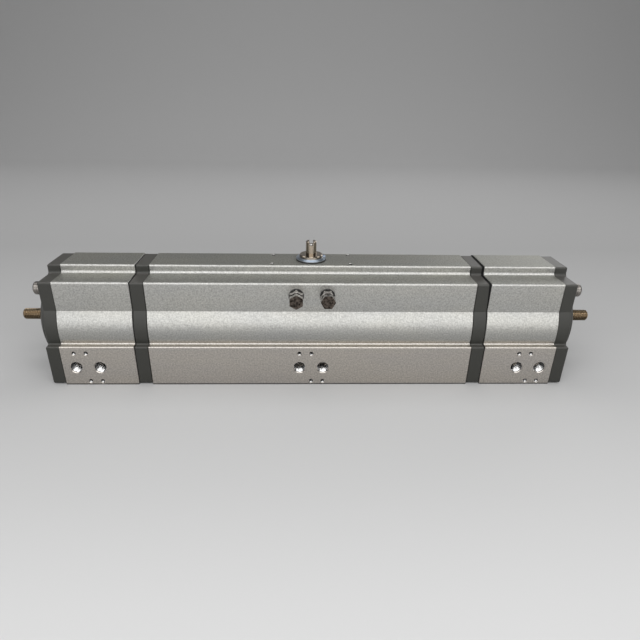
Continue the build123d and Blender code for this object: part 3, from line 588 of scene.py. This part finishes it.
def rounded(y, z, radius, first, last, sign=1):
    """A rounded corner's points and the way each faces, as (y, z, normal y, normal z).

    The sign is -1 for a hollow corner.
    """
    made = []
    for j in range(CORNER_STEPS + 1):
        angle = radians(first + (last - first) * j / CORNER_STEPS)
        across, up = cos(angle), sin(angle)
        made.append((y + radius * across, z + radius * up, sign * across, sign * up))
    return made


def bead_path():
    """The tubes' outline drawn in by PLATE_INSET, from the top's rear edge forwards and down the flat.

    Its rounds share their centres with the tubes' rounds, so their radii differ from the plates' own.
    """
    top = TOP_Z - PLATE_INSET
    riser = TOP_HALF_WIDTH - PLATE_INSET
    ledge = TOP_Z - SHOULDER_DROP - PLATE_INSET
    flat = FLAT_Y - PLATE_INSET
    top_round = TOP_ROUND - PLATE_INSET
    fillet = SHOULDER_FILLET + PLATE_INSET
    shoulder = SHOULDER_ROUND - PLATE_INSET
    path = [(BEAD_REAR_Y - BEAD_STEP * j, top, 0, 1) for j in range(TOP_STEPS + 1)]
    path += rounded(top_round - riser, top - top_round, top_round, 90, 180)
    path += rounded(-riser - fillet, ledge + fillet, fillet, 0, -90, -1)
    path += [(-riser - fillet - BEAD_STEP * j, ledge, 0, 1) for j in range(1, LEDGE_STEPS + 1)]
    path += rounded(shoulder - flat, ledge - shoulder, shoulder, 90, 180)
    path += [(-flat, ledge - shoulder - BEAD_STEP * j, -1, 0) for j in range(1, FLAT_STEPS + 1)]
    return path


def joint_bead():
    """A black bead on the right plate's edge, wide on top and narrowing down the front flat."""
    points, faces = [], []
    path = bead_path()
    for y, z, normal_y, normal_z in path:
        width = BEAD_WIDE + (BEAD_NARROW - BEAD_WIDE) * max(0.0, TAPER_FROM_Z - z) / TAPER_LENGTH
        section = [
            (0.0, -BEAD_SUNK),
            (0.0, BEAD_PROUD),
            (BEAD_BEVEL - width, BEAD_PROUD),
            (-width, BEAD_PROUD - BEAD_BEVEL),
            (-width, -BEAD_SUNK),
        ]
        points += [Vector((BEAD_X + dx, y + h * normal_y, z + h * normal_z)) for dx, h in section]
    sides = len(section)
    for low in range(0, len(points) - sides, sides):
        for i in range(sides):
            after = (i + 1) % sides
            faces.append((low + i, low + after, low + sides + after, low + sides + i))
    faces.append(tuple(range(sides)))
    faces.append(tuple(reversed(range(len(points) - sides, len(points)))))
    piece("gasket_edge_right", points, faces, finishes["gasket_rubber"], "gasket_rubber")


joint_bead()

# ---------------------------------------------------------------- floor and light
FLOOR_HALF_WIDTH, FLOOR_FRONT = 5.0, -5.0
BEND_START, BEND_RADIUS, BACKDROP_TOP = 1.6, 1.2, 2.4
BEND_STEP = 6                       # degrees
PAINT_FRONT, PAINT_BACK = -1.0, 3.0
FLOOR_GREY = (0.6, 0.6, 0.6)
# How pale the floor is, by its share of the way from PAINT_FRONT to PAINT_BACK: painted light and shade
# that shape the backdrop's gradient.
PAINTED_FLOOR_SHADING = [
    (0.0, 0.85), (0.17, 0.66), (0.195, 0.585), (0.225, 0.515), (0.27, 0.47), (0.36, 0.455), (0.44, 0.55),
    (0.55, 0.68), (0.67, 0.79), (0.78, 0.75), (1.0, 0.64),
]
WORLD_LIGHT = 0.10
WHITE, WARM = (1, 1, 1), (1.0, 0.85, 0.7)
# Name, place, target, width, depth, radiance, colour and beam angle in degrees.
LAMPS = [
    ("front", (0, -1.6, 0.56), (0, 0, 0.56), 3.2, 1.08, 1.7, WHITE, 180),
    ("high", (0, -0.9, 1.4), (0, 0, 0.05), 3.2, 1.0, 2.4, WHITE, 180),
    ("top", (0, 0.35, 1.5), (0, 0.25, 0), 3.0, 0.7, 1.5, WHITE, 180),
    ("card", (0, -0.96, 0.01), (0, -0.96, 1), 3.2, 1.2, 0.12, WARM, 180),
    ("rim", (1.5, 2.0, 1.0), (0.2, 0, 0.1), 1.6, 1.0, 0.13, WHITE, 40),
]


def floor():
    """A pale floor that curves up into a backdrop behind the object, its paint lighter and darker along it
    as painted light and shade.
    """
    rows = [(FLOOR_FRONT, 0.0)]
    for degrees in range(0, 91, BEND_STEP):
        angle = radians(degrees)
        rows.append((BEND_START + BEND_RADIUS * sin(angle), BEND_RADIUS * (1 - cos(angle))))
    rows.append((BEND_START + BEND_RADIUS, BACKDROP_TOP))
    points = [(x, y, z) for y, z in rows for x in (-FLOOR_HALF_WIDTH, FLOOR_HALF_WIDTH)]
    faces = [(2 * i, 2 * i + 1, 2 * i + 3, 2 * i + 2) for i in range(len(rows) - 1)]
    mesh = bpy.data.meshes.new("floor")
    mesh.from_pydata(points, [], faces)
    mesh.polygons.foreach_set("use_smooth", [True] * len(mesh.polygons))
    paint, tree, shader = material("floor_paint", FLOOR_GREY, NOT_METAL, MATT, Specular_IOR_Level=0.0)
    share = spanned(tree, axis_of(tree, "Object", "Y"), PAINT_FRONT, PAINT_BACK)
    tree.links.new(ramp(tree, share, PAINTED_FLOOR_SHADING), shader.inputs["Base Color"])
    mesh.materials.append(paint)
    made = add("floor", mesh)


def lamp(name, place, target, width, depth, radiance, colour, beam):
    """A rectangular soft light of a given radiance, unseen by the camera."""
    data = bpy.data.lights.new(name, "AREA")
    data.shape = "RECTANGLE"
    data.size = width
    data.size_y = depth
    data.energy = pi * width * depth * radiance
    data.color = colour
    data.spread = radians(beam)
    made = add(name, data)
    made.location = place
    made.rotation_euler = (Vector(target) - Vector(place)).to_track_quat("-Z", "Y").to_euler()
    made.visible_camera = False


def world():
    """A faint even light from everywhere."""
    made = bpy.data.worlds.new("world")
    made.use_nodes = True
    background = made.node_tree.nodes["Background"]
    background.inputs["Color"].default_value = (*WHITE, 1)
    background.inputs["Strength"].default_value = WORLD_LIGHT
    scene.world = made


floor()
world()
for settings in LAMPS:
    lamp(*settings)
